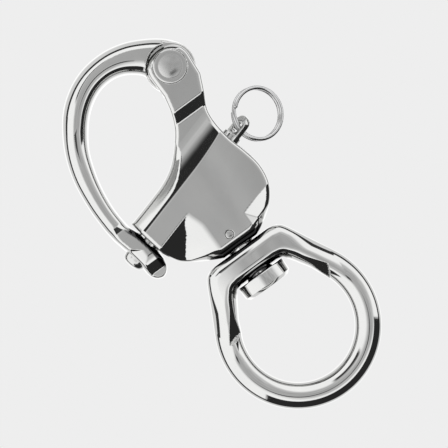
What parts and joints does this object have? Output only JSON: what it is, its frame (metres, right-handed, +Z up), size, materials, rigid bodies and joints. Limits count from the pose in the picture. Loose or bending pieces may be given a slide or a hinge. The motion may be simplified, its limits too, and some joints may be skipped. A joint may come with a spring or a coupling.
{
  "type": "snap shackle",
  "caption": "Swivel snap shackle for boat rigging: a hinged arm locked by a spring plunger with a pull ring, and a bail that turns on a stud.",
  "frame": {"origin": "bottom centre of the shackle's box as it lies on its side", "axes": "+X along the swivel axis towards the bail, +Y towards the pull ring, +Z up through the thickness"},
  "size_m": [0.0887, 0.0464, 0.0112],
  "materials": {
    "polished_stainless": "mirror-polished forged stainless steel",
    "ground_stainless": "ground and polished stainless bar",
    "spring_steel": "bright drawn stainless wire"
  },
  "bodies": {
    "shackle_body": {"body": "polished_stainless", "hinge_rivet": "ground_stainless", "swivel_stud": "polished_stainless", "stud_lock_pin": "ground_stainless", "plunger_spring": "spring_steel"},
    "hinged_arm": {"arm": "polished_stainless"},
    "plunger": {"plunger": "ground_stainless"},
    "ring": {"pull_ring": "spring_steel"},
    "swivel_bail": {"bail": "polished_stainless"}
  },
  "joints": [
    {"name": "arm_swing", "type": "hinge", "parent": "shackle_body", "child": "hinged_arm", "pos_m": [-0.0332, 0.00855, 0.0056], "axis": [0, 0, -1], "range_deg": [0, 90]},
    {"name": "plunger_pull", "type": "slide", "parent": "shackle_body", "child": "plunger", "axis": [-0.2756, 0.9613, 0], "range_m": [0, 0.006], "stiffness_N_per_m": 1500, "springref_m": -0.004, "deforming": ["plunger_spring"]},
    {"name": "ring_swing", "type": "hinge", "parent": "plunger", "child": "ring", "pos_m": [-0.01453, 0.01276, 0.0056], "axis": [0.9737, 0.1368, -0.1822], "range_deg": [-64, 106]},
    {"name": "bail_swivel", "type": "hinge", "parent": "shackle_body", "child": "swivel_bail", "pos_m": [0.0095, -0.00165, 0.0056], "axis": [1, 0, 0], "continuous": true}
  ]
}
